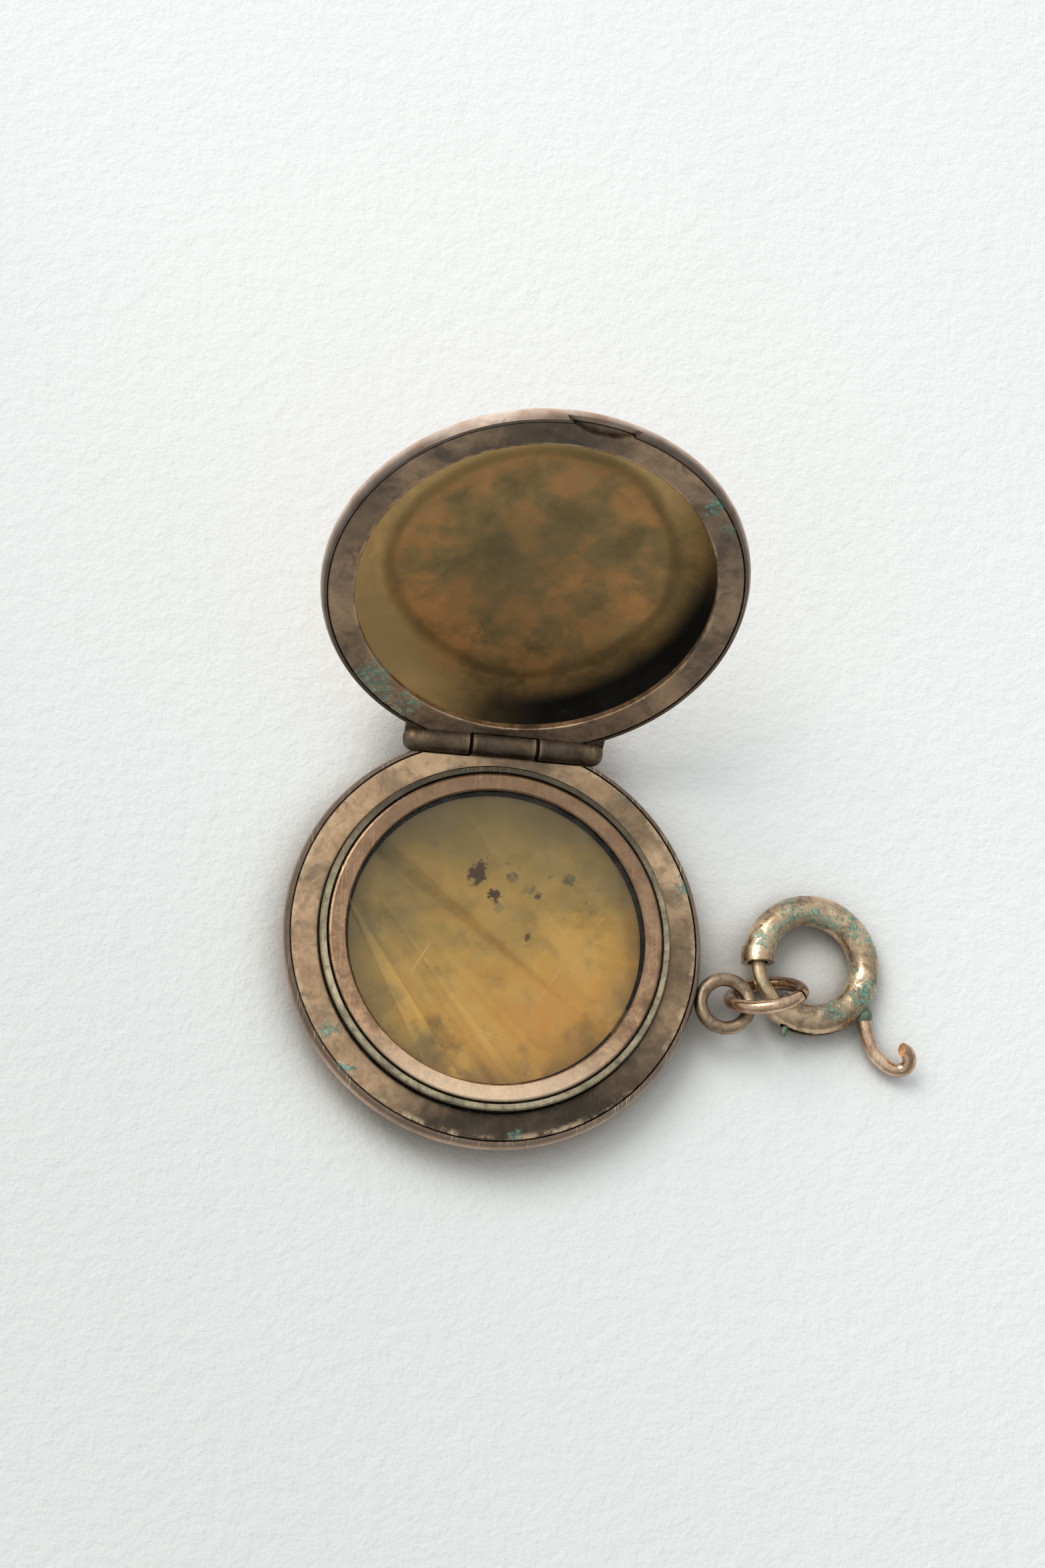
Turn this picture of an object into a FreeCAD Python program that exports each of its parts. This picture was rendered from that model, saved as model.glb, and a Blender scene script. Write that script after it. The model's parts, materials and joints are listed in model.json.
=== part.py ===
"""A round hinged locket, standing open, with its bail, jump ring and bolt-ring clasp.

Millimetres. +Z is up, +Y runs from the middle of the locket to its hinge, and the origin
is the centre of the flat back that the locket lies on. Each node is one STEP file.
The lid is drawn closed over the base and then swung open about the hinge pin.
"""
import FreeCAD, Part
import math
import os

V = FreeCAD.Vector
X_AXIS = V(1, 0, 0)
Y_AXIS = V(0, 1, 0)
Z_AXIS = V(0, 0, 1)
ORIGIN = V(0, 0, 0)

# Pressed shells: the two halves share one pillow profile.
RIM_R = 14.0            # outside radius where the halves meet
BULGE_R = 14.2          # widest radius, a little below the rim
BULGE_DROP = 0.8        # distance of the widest point from the rim
SHELL_DEPTH = 3.4
FLAT_R = 9.9            # flat middle of each shell
SHELL_WALL = 0.4
LIP_INNER_R = 13.8     # seat for the flange inside the rim
FLANGE_SEAT = 0.55
PARTING_GAP = 0.05      # space between the closed flanges

# Flanges.
FLANGE_THICK = 0.5
FLANGE_EDGE_BEVEL = 0.12
FLANGE_BORE_BEVEL = 0.06
LID_BORE_R = 11.95

# Snap collar with its seat, and the picture frame that drops into it.
COLLAR_R = 11.85
COLLAR_INNER_R = 11.38
COLLAR_RISE = 0.8
COLLAR_SINK = 1.4
SEAT_INNER_R = 9.9
SEAT_THICK = 0.3
FRAME_PLAY = 0.05
BACKING_THICK = 0.25
WINDOW_THICK = 0.3
BEZEL_WINDOW_R = 10.12
BEZEL_RISE = 0.92       # top of the bezel above the base flange
BEZEL_FACE = 0.32       # thickness of the bezel over the window
BEZEL_SKIRT_WALL = 0.35
BEZEL_ROUND = 0.2

# Hinge.
HINGE_Y = 13.5
CHORD_Y = 13.4          # both shells are cut flat here so that they clear each other
BARREL_R = 0.85
BARREL_CLEAR_R = 0.93
BARREL_LENGTH = 13.6
KNUCKLE_GAP = 0.12
KNUCKLE_END_LENGTH = 0.8   # the outer ends taper over this length
KNUCKLE_END_R = 0.42
TAB_DEPTH = 1.6            # plate that ties each end knuckle to the lid rim
TAB_THICK = 0.45
TAB_CORNER_R = 0.5
PIN_R = 0.27
PIN_PLAY = 0.03
PIN_END_INSET = 0.25
OPEN_ANGLE = 122.5      # from closed, as the lid stands at rest

# Thumbnail notch in the lid, beside the point opposite the hinge.
NOTCH_ANGLE = -81.0
NOTCH_LENGTH = 5.4
NOTCH_BITE = 0.9
NOTCH_DEPTH = 0.35

# The chain fittings are drawn together and then turned about the locket's middle.
CHAIN_TURN = -2.7

# Bail loop soldered to the side of the base.
BAIL_ANGLE = -7.7
BAIL_DISTANCE = 16.3
BAIL_Z = 2.55
BAIL_RING_R = 1.68
BAIL_WIRE_R = 0.46

# Jump ring, leaning, through the bail and round the clasp tongue.
JUMP_CENTRE = V(18.93, -1.26, 2.62)
JUMP_ACROSS = V(0.956, 0.193, 0.222)   # from the bail side to the clasp side
JUMP_UP = V(-0.088, -0.531, 0.843)      # from the lowest strand to the highest
JUMP_RING_R = 2.45
JUMP_WIRE_R = 0.46
JUMP_CUT_ANGLE = 28.0               # where the ring was cut, from the clasp side upward
JUMP_CUT_GAP = 5.0                  # degrees left open

# Bolt-ring clasp, drawn flat about its own centre and then tilted onto the jump ring.
CLASP_CENTRE = V(22.1, 1.53, 1.48)
CLASP_TILT = 6.0
TUBE_RING_R = 3.8
TUBE_R = 1.06
TUBE_BORE_R = 0.7
TUBE_START = 232.0      # tube end where the tongue slides out
TUBE_SWEEP = 314.0      # anticlockwise to the mouth
FERRULE_R = 1.16
FERRULE_SWEEP = 13.0
TONGUE_R = 0.52
TONGUE_TIP = 178.0      # the tip rests just inside the mouth
TONGUE_SWEEP = 78.0
TONGUE_TRAVEL = 42.0
THUMB_PIN_ANGLE = 252.0
THUMB_PIN_R = 0.24
THUMB_PIN_REACH = 5.4  # from the clasp centre
SLOT_HALF_WIDTH = 0.32
SLOT_MARGIN = 5.0
STOP_ANGLE = 336.0
STOP_SWEEP = 6.0
SPRING_TURNS = 7
SPRING_COIL_R = 0.45
SPRING_WIRE_R = 0.13
SPRING_WIRE_FLATS = 6
SPRING_END_GAP = 2.0
SPRING_POINTS_PER_TURN = 10
WELD_R = 0.62
WELD_ANGLE = -36.5
EYE_WIRE_R = 0.48
# Centreline of the pulled-open eye: radial distance, degrees, height above the clasp plane.
EYE_COURSE = (
    (4.98, -37.0, 0.0),
    (6.1, -44.6, 0.0),
    (7.25, -47.7, 0.05),
    (8.35, -46.9, 0.1),
    (9.2, -43.9, 0.2),
    (9.45, -40.6, 0.55),
    (9.0, -38.4, 1.15),
    (8.3, -39.6, 1.6),
)

base_rim_z = SHELL_DEPTH
lid_rim_z = SHELL_DEPTH + PARTING_GAP
hinge_z = SHELL_DEPTH + PARTING_GAP / 2.0
hinge_point = V(0, HINGE_Y, hinge_z)
knuckle_length = BARREL_LENGTH / 3.0
inner_chord_y = CHORD_Y - SHELL_WALL
collar_top_z = base_rim_z + COLLAR_RISE
frame_outer_r = COLLAR_INNER_R - FRAME_PLAY
bezel_top_z = base_rim_z + BEZEL_RISE
window_top_z = bezel_top_z - BEZEL_FACE
window_bottom_z = window_top_z - WINDOW_THICK
backing_bottom_z = window_bottom_z - BACKING_THICK
skirt_inner_r = frame_outer_r - BEZEL_SKIRT_WALL
seat_top_z = backing_bottom_z


def revolved(edges, axis_point=ORIGIN, axis=Z_AXIS):
    """Solid of revolution from a closed outline."""
    return Part.Face(Part.Wire(edges)).revolve(axis_point, axis, 360)


def polygon_ring(points):
    """Ring revolved about Z from (radius, height) corners."""
    corners = [V(r, 0, z) for r, z in points]
    return revolved(Part.makePolygon(corners + corners[:1]).Edges)


def arc(first, middle, last):
    return Part.Arc(V(*first), V(*middle), V(*last)).toShape()


def line(first, last):
    return Part.LineSegment(V(*first), V(*last)).toShape()


def half_space_below_y(limit):
    """Large block holding everything with y under the limit."""
    size = 6 * RIM_R
    return Part.makeBox(size, size, size, V(-size / 2, limit - size, -size / 2))


# Shells.
def shoulder(start_r, start_z, end_r, end_z):
    """Arc that leaves the flat middle level and climbs to the widest point."""
    run = end_r - start_r
    rise = end_z - start_z
    bend = (run * run + rise * rise) / (2 * rise)
    half_turn = math.asin(run / bend) / 2.0
    middle_r = start_r + bend * math.sin(half_turn)
    middle_z = start_z + bend * (1 - math.cos(half_turn))
    return arc((start_r, 0, start_z), (middle_r, 0, middle_z), (end_r, 0, end_z))


def outer_pillow():
    bulge_z = SHELL_DEPTH - BULGE_DROP
    return revolved([
        line((0, 0, 0), (FLAT_R, 0, 0)),
        shoulder(FLAT_R, 0, BULGE_R, bulge_z),
        arc((BULGE_R, 0, bulge_z), (BULGE_R - 0.04, 0, bulge_z + 0.42), (RIM_R, 0, SHELL_DEPTH)),
        line((RIM_R, 0, SHELL_DEPTH), (0, 0, SHELL_DEPTH)),
        line((0, 0, SHELL_DEPTH), (0, 0, 0)),
    ])


def inner_pillow():
    bulge_z = SHELL_DEPTH - BULGE_DROP
    seat_z = SHELL_DEPTH - FLANGE_SEAT
    widest = BULGE_R - SHELL_WALL
    return revolved([
        line((0, 0, SHELL_WALL), (FLAT_R, 0, SHELL_WALL)),
        shoulder(FLAT_R, SHELL_WALL, widest, bulge_z),
        line((widest, 0, bulge_z), (LIP_INNER_R, 0, seat_z)),
        line((LIP_INNER_R, 0, seat_z), (LIP_INNER_R, 0, SHELL_DEPTH + 1)),
        line((LIP_INNER_R, 0, SHELL_DEPTH + 1), (0, 0, SHELL_DEPTH + 1)),
        line((0, 0, SHELL_DEPTH + 1), (0, 0, SHELL_WALL)),
    ])


def pressed_shell():
    """Hollow half with a flat wall along the hinge chord, rim upward."""
    outside = outer_pillow().common(half_space_below_y(CHORD_Y))
    hollow = inner_pillow().common(half_space_below_y(inner_chord_y))
    return outside.cut(hollow)


def flange(bore_r):
    """Flat ring set into the rim, top face at the rim height."""
    top = SHELL_DEPTH
    bottom = top - FLANGE_THICK
    ring = polygon_ring([
        (bore_r, bottom),
        (LIP_INNER_R, bottom),
        (LIP_INNER_R, top - FLANGE_EDGE_BEVEL),
        (LIP_INNER_R - FLANGE_EDGE_BEVEL, top),
        (bore_r + FLANGE_BORE_BEVEL, top),
        (bore_r, top - FLANGE_BORE_BEVEL),
    ])
    return ring.common(half_space_below_y(inner_chord_y))


def turned_over(shape):
    """Turn a half drawn rim-up into the closed lid above the base."""
    over = shape.copy()
    over.rotate(ORIGIN, Y_AXIS, 180)
    over.translate(V(0, 0, lid_rim_z + SHELL_DEPTH))
    return over


# Hinge.
def barrel_section(radius, x_start, x_end):
    return Part.makeCylinder(radius, x_end - x_start, V(x_start, HINGE_Y, hinge_z), X_AXIS)


def barrel_clearance(x_start, x_end):
    return barrel_section(BARREL_CLEAR_R, x_start, x_end)


side_outer_x = BARREL_LENGTH / 2.0
side_inner_x = knuckle_length / 2.0


def relieved_for_base_knuckle(shape):
    """Lid part: meets its two end knuckles and clears the middle one."""
    shape = shape.cut(barrel_clearance(-side_inner_x, side_inner_x))
    shape = shape.cut(barrel_section(BARREL_R, side_inner_x, side_outer_x + 1))
    return shape.cut(barrel_section(BARREL_R, -side_outer_x - 1, -side_inner_x))


def relieved_for_lid_knuckles(shape):
    """Base part: meets the middle knuckle and clears the two end ones."""
    shape = shape.cut(barrel_section(BARREL_R, -side_inner_x, side_inner_x))
    shape = shape.cut(barrel_clearance(side_inner_x, side_outer_x + 1))
    return shape.cut(barrel_clearance(-side_outer_x - 1, -side_inner_x))


def end_knuckle(side):
    """Lid knuckle with a tapered outer end and a tab; side is -1 for left, +1 for right."""
    inner = side_inner_x + KNUCKLE_GAP
    bore = PIN_R + PIN_PLAY
    taper = side_outer_x - KNUCKLE_END_LENGTH
    middle_x = taper + 0.7 * KNUCKLE_END_LENGTH
    middle_r = KNUCKLE_END_R + 0.7 * (BARREL_R - KNUCKLE_END_R)

    def at(x, r):
        return (side * x, HINGE_Y - r, hinge_z)

    outline = [
        line(at(inner, bore), at(inner, BARREL_R)),
        line(at(inner, BARREL_R), at(taper, BARREL_R)),
        arc(at(taper, BARREL_R), at(middle_x, middle_r), at(side_outer_x, KNUCKLE_END_R)),
        line(at(side_outer_x, KNUCKLE_END_R), at(side_outer_x, bore)),
        line(at(side_outer_x, bore), at(inner, bore)),
    ]
    barrel = revolved(outline, hinge_point, X_AXIS)
    return barrel.fuse(lid_tab(side)).removeSplitter()


def lid_tab(side):
    """Plate level with the lid flange that fills in between the rim and the knuckle."""
    width = side_outer_x - side_inner_x - KNUCKLE_GAP
    start_x = side_inner_x + KNUCKLE_GAP if side > 0 else -side_outer_x
    plate = Part.makeBox(width, TAB_DEPTH, TAB_THICK, V(start_x, HINGE_Y - TAB_DEPTH, lid_rim_z))
    corners = [edge for edge in plate.Edges if is_outer_upright(edge, side)]
    plate = plate.makeFillet(TAB_CORNER_R, corners)
    plate = plate.cut(turned_over(outer_pillow().common(half_space_below_y(CHORD_Y))))
    plate = plate.cut(barrel_section(PIN_R + PIN_PLAY, -side_outer_x, side_outer_x))
    return max(plate.Solids, key=lambda solid: solid.Volume)


def is_outer_upright(edge, side):
    """True for the tab's upright edge nearest the hinge at its outer end."""
    low, high = edge.BoundBox.ZMin, edge.BoundBox.ZMax
    upright = high - low > TAB_THICK / 2.0
    outer = abs(edge.BoundBox.XMin - side * side_outer_x) < 0.01
    return upright and outer and abs(edge.BoundBox.YMin - HINGE_Y) < 0.01


def middle_knuckle():
    solid = barrel_section(BARREL_R, -side_inner_x, side_inner_x)
    return solid.cut(barrel_section(PIN_R, -side_inner_x, side_inner_x))


def hinge_pin():
    reach = side_outer_x - PIN_END_INSET
    return barrel_section(PIN_R, -reach, reach)


# Lid.
def notch_tool():
    half = NOTCH_LENGTH / 2.0
    radius = (half * half + NOTCH_BITE * NOTCH_BITE) / (2 * NOTCH_BITE)
    distance = RIM_R - NOTCH_BITE + radius
    angle = math.radians(NOTCH_ANGLE)
    centre = V(distance * math.cos(angle), distance * math.sin(angle), lid_rim_z - 1)
    return Part.makeCylinder(radius, 1 + NOTCH_DEPTH, centre)


def opened(shape):
    swung = shape.copy()
    swung.rotate(hinge_point, X_AXIS, -OPEN_ANGLE)
    return swung


def lid_nodes():
    notch = notch_tool()
    shell = relieved_for_base_knuckle(turned_over(pressed_shell())).cut(notch)
    ring = relieved_for_base_knuckle(turned_over(flange(LID_BORE_R))).cut(notch)
    closed = {
        "lid_shell": shell,
        "lid_flange": ring,
        "lid_knuckle_left": end_knuckle(-1),
        "lid_knuckle_right": end_knuckle(1),
    }
    return {name: opened(shape) for name, shape in closed.items()}


# Base.
def snap_collar():
    return polygon_ring([
        (COLLAR_INNER_R, base_rim_z - COLLAR_SINK),
        (COLLAR_R, base_rim_z - COLLAR_SINK),
        (COLLAR_R, collar_top_z - 0.12),
        (COLLAR_R - 0.1, collar_top_z),
        (COLLAR_INNER_R + 0.06, collar_top_z),
        (COLLAR_INNER_R, collar_top_z - 0.06),
    ])


def frame_seat():
    """Ledge inside the collar that the picture frame rests on."""
    return polygon_ring([
        (SEAT_INNER_R, seat_top_z - SEAT_THICK),
        (COLLAR_INNER_R, seat_top_z - SEAT_THICK),
        (COLLAR_INNER_R, seat_top_z),
        (SEAT_INNER_R, seat_top_z),
    ])


def bail_loop():
    angle = math.radians(BAIL_ANGLE)
    centre = V(BAIL_DISTANCE * math.cos(angle), BAIL_DISTANCE * math.sin(angle), BAIL_Z)
    ring = Part.makeTorus(BAIL_RING_R, BAIL_WIRE_R, centre, Z_AXIS)
    return ring.cut(outer_pillow())


def base_nodes():
    return {
        "back_shell": relieved_for_lid_knuckles(pressed_shell()),
        "base_flange": relieved_for_lid_knuckles(flange(COLLAR_R)),
        "snap_collar": snap_collar(),
        "frame_seat": frame_seat(),
        "base_knuckle": middle_knuckle(),
        "hinge_pin": hinge_pin(),
    }


# Picture frame: bezel, window and backing lift out together.
def bezel_ring():
    top = bezel_top_z
    return polygon_ring([
        (BEZEL_WINDOW_R, window_top_z),
        (skirt_inner_r, window_top_z),
        (skirt_inner_r, seat_top_z),
        (frame_outer_r, seat_top_z),
        (frame_outer_r, top - BEZEL_ROUND),
        (frame_outer_r - 0.3 * BEZEL_ROUND, top - 0.3 * BEZEL_ROUND),
        (frame_outer_r - BEZEL_ROUND, top),
        (BEZEL_WINDOW_R + 0.1, top),
        (BEZEL_WINDOW_R, top - 0.1),
    ])


def frame_nodes():
    return {
        "bezel_ring": bezel_ring(),
        "window_disc": Part.makeCylinder(skirt_inner_r, WINDOW_THICK, V(0, 0, window_bottom_z)),
        "picture_backing": Part.makeCylinder(skirt_inner_r, BACKING_THICK, V(0, 0, backing_bottom_z)),
    }


# Jump ring.
def circle_face(centre, normal, radius):
    return Part.Face(Part.Wire(Part.makeCircle(radius, centre, normal)))


def jump_ring():
    """Wire ring with a narrow cut, its plane set by two directions."""
    across = V(JUMP_ACROSS).normalize()
    normal = across.cross(JUMP_UP).normalize()
    up = normal.cross(across)
    start = math.radians(JUMP_CUT_ANGLE + JUMP_CUT_GAP / 2.0)
    radial = across * math.cos(start) + up * math.sin(start)
    tangent = normal.cross(radial)
    wire = circle_face(JUMP_CENTRE + radial * JUMP_RING_R, tangent, JUMP_WIRE_R)
    return wire.revolve(JUMP_CENTRE, normal, 360 - JUMP_CUT_GAP)


# Clasp.
def ring_point(radius, degrees, height=0.0):
    angle = math.radians(degrees)
    return V(radius * math.cos(angle), radius * math.sin(angle), height)


def curved_rod(radius, start, sweep):
    """Round rod bent about the clasp centre."""
    across = ring_point(1, start + 90)
    face = circle_face(ring_point(TUBE_RING_R, start), across, radius)
    return face.revolve(ORIGIN, Z_AXIS, sweep)


def slot_tool():
    """Radial slot in the outside of the tube for the thumb pin."""
    start = THUMB_PIN_ANGLE - SLOT_MARGIN
    sweep = TONGUE_TRAVEL + 2 * SLOT_MARGIN
    corners = [
        ring_point(TUBE_RING_R + 0.3, start, -SLOT_HALF_WIDTH),
        ring_point(TUBE_RING_R + 2, start, -SLOT_HALF_WIDTH),
        ring_point(TUBE_RING_R + 2, start, SLOT_HALF_WIDTH),
        ring_point(TUBE_RING_R + 0.3, start, SLOT_HALF_WIDTH),
    ]
    face = Part.Face(Part.makePolygon(corners + corners[:1]))
    return face.revolve(ORIGIN, Z_AXIS, sweep)


def clasp_tube():
    tube = curved_rod(TUBE_R, TUBE_START, TUBE_SWEEP)
    tube = tube.cut(curved_rod(TUBE_BORE_R, TUBE_START - 1, TUBE_SWEEP + 2))
    return tube.cut(slot_tool())


def mouth_ferrule():
    start = TUBE_START + TUBE_SWEEP - FERRULE_SWEEP
    outside = curved_rod(FERRULE_R, start, FERRULE_SWEEP)
    return outside.cut(curved_rod(TUBE_R, start - 1, FERRULE_SWEEP + 2))


def spring_stop():
    return curved_rod(TUBE_BORE_R, STOP_ANGLE, STOP_SWEEP)


def clasp_tongue():
    """Sliding wire with a hole for the foot of the thumb pin."""
    return curved_rod(TONGUE_R, TONGUE_TIP, TONGUE_SWEEP).cut(thumb_pin())


def thumb_pin():
    foot = TUBE_RING_R
    direction = ring_point(1, THUMB_PIN_ANGLE)
    return Part.makeCylinder(THUMB_PIN_R, THUMB_PIN_REACH - foot, direction * foot, direction)


def clasp_spring():
    """Fine coil that follows the bend of the tube, between the tongue and the stop."""
    start = TONGUE_TIP + TONGUE_SWEEP + SPRING_END_GAP
    sweep = STOP_ANGLE - SPRING_END_GAP - start
    steps = SPRING_TURNS * SPRING_POINTS_PER_TURN
    points = []
    for step in range(steps + 1):
        turn = 2 * math.pi * step / SPRING_POINTS_PER_TURN
        radius = TUBE_RING_R + SPRING_COIL_R * math.cos(turn)
        points.append(ring_point(radius, start + sweep * step / steps,
                                 SPRING_COIL_R * math.sin(turn)))
    course = Part.BSplineCurve()
    course.interpolate(points)
    section = polygon_wire(points[0], course.tangent(course.FirstParameter)[0], SPRING_WIRE_R)
    return Part.Wire(course.toShape()).makePipeShell([section], True, True)


def polygon_wire(centre, normal, radius):
    """Outline of the spring wire, which is drawn with flats."""
    across = normal.cross(Z_AXIS).normalize()
    up = across.cross(normal).normalize()
    corners = []
    for corner in range(SPRING_WIRE_FLATS):
        turn = 2 * math.pi * corner / SPRING_WIRE_FLATS
        corners.append(centre + (across * math.cos(turn) + up * math.sin(turn)) * radius)
    return Part.makePolygon(corners + corners[:1])


def circle_wire(centre, normal, radius):
    return Part.Wire(Part.makeCircle(radius, centre, normal))


def clasp_eye():
    """Bent wire of the eye, opened out into a hook."""
    points = [ring_point(r, degrees, height) for r, degrees, height in EYE_COURSE]
    course = Part.BSplineCurve()
    course.interpolate(points)
    section = circle_wire(points[0], course.tangent(course.FirstParameter)[0], EYE_WIRE_R)
    wire = Part.Wire(course.toShape()).makePipeShell([section], True, False)
    return wire.cut(curved_rod(TUBE_R, 300, 40)).cut(eye_weld_ball())


def eye_weld_ball():
    return Part.makeSphere(WELD_R, ring_point(TUBE_RING_R + TUBE_R + 0.12, WELD_ANGLE))


def eye_weld():
    """Lump of solder that joins the eye to the tube."""
    return eye_weld_ball().cut(curved_rod(TUBE_R, 300, 40))


def placed_clasp(shape):
    tilted = shape.copy()
    tilted.rotate(ORIGIN, Y_AXIS, CLASP_TILT)
    tilted.translate(CLASP_CENTRE)
    return tilted


def clasp_nodes():
    drawn = {
        "clasp_tube": clasp_tube(),
        "mouth_ferrule": mouth_ferrule(),
        "spring_stop": spring_stop(),
        "clasp_tongue": clasp_tongue(),
        "thumb_pin": thumb_pin(),
        "clasp_spring": clasp_spring(),
        "clasp_eye": clasp_eye(),
        "eye_weld": eye_weld(),
    }
    return {name: placed_clasp(shape) for name, shape in drawn.items()}


def chain_nodes():
    """Bail, jump ring and clasp, turned together to their side of the hinge."""
    drawn = {"bail_loop": bail_loop(), "jump_ring": jump_ring()}
    drawn.update(clasp_nodes())
    for shape in drawn.values():
        shape.rotate(ORIGIN, Z_AXIS, CHAIN_TURN)
    return drawn


nodes = {}
nodes.update(lid_nodes())
nodes.update(base_nodes())
nodes.update(frame_nodes())
nodes.update(chain_nodes())

os.makedirs("parts", exist_ok=True)
for name, shape in nodes.items():
    shape.Solids[0].exportStep("parts/" + name + ".step")
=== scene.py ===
import json
import math

import bpy
from mathutils import Matrix, Vector


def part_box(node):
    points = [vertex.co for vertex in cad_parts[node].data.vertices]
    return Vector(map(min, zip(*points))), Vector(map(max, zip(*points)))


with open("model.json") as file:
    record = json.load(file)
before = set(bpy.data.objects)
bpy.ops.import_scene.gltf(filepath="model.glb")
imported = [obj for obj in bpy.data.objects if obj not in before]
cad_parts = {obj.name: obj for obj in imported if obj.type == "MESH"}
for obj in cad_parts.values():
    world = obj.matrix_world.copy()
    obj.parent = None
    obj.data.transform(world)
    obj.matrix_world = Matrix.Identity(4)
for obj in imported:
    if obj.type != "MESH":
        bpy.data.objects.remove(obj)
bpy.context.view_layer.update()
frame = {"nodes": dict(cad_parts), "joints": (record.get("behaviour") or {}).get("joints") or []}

MM = 0.001
scene = bpy.context.scene
nodes = frame["nodes"]
joints = {joint["name"]: joint for joint in frame["joints"]}

# ---------------------------------------------------------------- driving values
# Camera: angles in degrees, distance and aim in millimetres from the middle of the base.
AZIMUTH = -28.2
ELEVATION = 71.0
ROLL = 31.95
DISTANCE = 294.4
AIM = (1.45, 10.95)
LENS = 100.0
SENSOR = 36.0

# Light: the room's strength away from the window and toward it, then the window itself.
ROOM_DIM = 0.30
ROOM_BRIGHT = 0.95
ROOM_COLOUR = (0.95, 0.98, 1.0, 1)
KEY_POWER = 4.3
KEY_HEIGHT = 50.0
KEY_SIZE = 0.5
KEY_DISTANCE = 0.9
KEY_COLOUR = (1.0, 0.985, 0.96)
FLOOR_SIZE = 2.4

# Sizes in millimetres that the frame's boxes don't show: radii, then heights above the clasp's
# middle and the lid's rim. The groove has the radii where it starts, is full, thins out and ends.
CLASP_RING_R = 3.8
LID_WALL_R = 11.95
RIM_LIP_R = 13.8
LID_GROOVE = (8.7, 9.3, 9.4, 10.1)
CLASP_TOP = 0.8
HOLLOW_MIDDLE = 1.5

# Heights and radii in millimetres that the frame's boxes do show.
RIM_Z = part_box("back_shell")[1].z / MM
FLANGE_BORE_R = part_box("snap_collar")[1].x / MM
COLLAR_TOP_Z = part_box("snap_collar")[1].z / MM
BEZEL_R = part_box("bezel_ring")[1].x / MM
KNUCKLE_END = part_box("base_knuckle")[1].x / MM
WINDOW_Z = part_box("window_disc")[0].z / MM

# Colours of corrosion, dirt, wear and painted shade.
VERDIGRIS_DARK = (0.05, 0.16, 0.12)
VERDIGRIS_PALE = (0.20, 0.42, 0.32)
GRIME_AND_SHADE = (0.035, 0.026, 0.018)
DEEP_BROWN = (0.045, 0.036, 0.026)
NEAR_BLACK = (0.010, 0.009, 0.007)
RUBBED_RIM = (0.62, 0.46, 0.30)
RUBBED_BORE = (0.66, 0.48, 0.30)
LID_FLANGE_PATCH = (0.06, 0.052, 0.045)


# ---------------------------------------------------------------- camera
def level_heading(degrees):
    """A heading in the table's plane, counted from +X."""
    return Vector((math.cos(math.radians(degrees)), math.sin(math.radians(degrees)), 0))


def make_camera():
    """Long lens seen from the front left and high up, rolled so the hinge runs level."""
    away = level_heading(AZIMUTH - 90.0)
    tilt = math.radians(ELEVATION)
    back = (away * math.cos(tilt) + Vector((0, 0, math.sin(tilt)))).normalized()
    level = level_heading(AZIMUTH)
    upright = back.cross(level)
    roll = math.radians(ROLL)
    right = level * math.cos(roll) + upright * math.sin(roll)
    up = back.cross(right)
    aim = Vector((AIM[0], AIM[1], RIM_Z)) * MM
    camera = bpy.data.objects.new("camera", bpy.data.cameras.new("camera"))
    scene.collection.objects.link(camera)
    camera.data.lens = LENS
    camera.data.sensor_width = SENSOR
    camera.data.dof.use_dof = False
    camera.data.clip_start = 0.01
    camera.data.clip_end = 20
    turn = Matrix((right, up, back)).transposed()
    camera.matrix_world = Matrix.Translation(aim + back * DISTANCE * MM) @ turn.to_4x4()
    scene.camera = camera
    return right, up


view_right, view_up = make_camera()

# ---------------------------------------------------------------- places on the lid
hinge = joints["lid_hinge"]
hinge_point = Vector(hinge["pos_m"])
OPEN_ANGLE = math.radians(hinge["range_deg"][1])
SWING = (Matrix.Translation(hinge_point) @ Matrix.Rotation(-OPEN_ANGLE, 4, Vector(hinge["axis"]))
         @ Matrix.Translation(-hinge_point))


def on_lid(x, y, depth):
    """A place on the open lid in millimetres: x and y as if it were closed, depth above its rim."""
    closed = Vector((x * MM, y * MM, hinge_point.z + depth * MM))
    return tuple((SWING @ closed) / MM)


lid_middle = Vector(on_lid(0, 0, 0))
lid_toward_hinge = (Vector(on_lid(0, 1, 0)) - lid_middle).normalized()
lid_deeper = (Vector(on_lid(0, 0, 1)) - lid_middle).normalized()


# ---------------------------------------------------------------- places on the clasp
clasp_axis = Vector(joints["bolt_slide"]["axis"]).normalized()
clasp_middle = Vector(joints["bolt_slide"]["pos_m"]) / MM
clasp_across = Vector((0, 1, 0)).cross(clasp_axis).normalized()
clasp_up = clasp_axis.cross(clasp_across)


def on_clasp(degrees, radius, height):
    """A place on the clasp in millimetres, measured round its own middle."""
    turn = math.radians(degrees)
    place = clasp_middle + radius * (math.cos(turn) * clasp_across + math.sin(turn) * clasp_up)
    return tuple(place + height * clasp_axis)


# ---------------------------------------------------------------- spots
def level_spots(height, *spots):
    """Spots on a level face: x, y and radius in millimetres, then the strength."""
    return [((x, y, height), radius, strength) for x, y, radius, strength in spots]


def lid_spots(depth, *spots):
    """The same on the open lid, at one depth above its rim."""
    return [(on_lid(x, y, depth), radius, strength) for x, y, radius, strength in spots]


def clasp_spots(*spots):
    """Spots on the clasp: bearing in degrees, distance from its middle, height, radius and strength."""
    return [(on_clasp(*place), radius, strength) for *place, radius, strength in spots]


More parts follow.
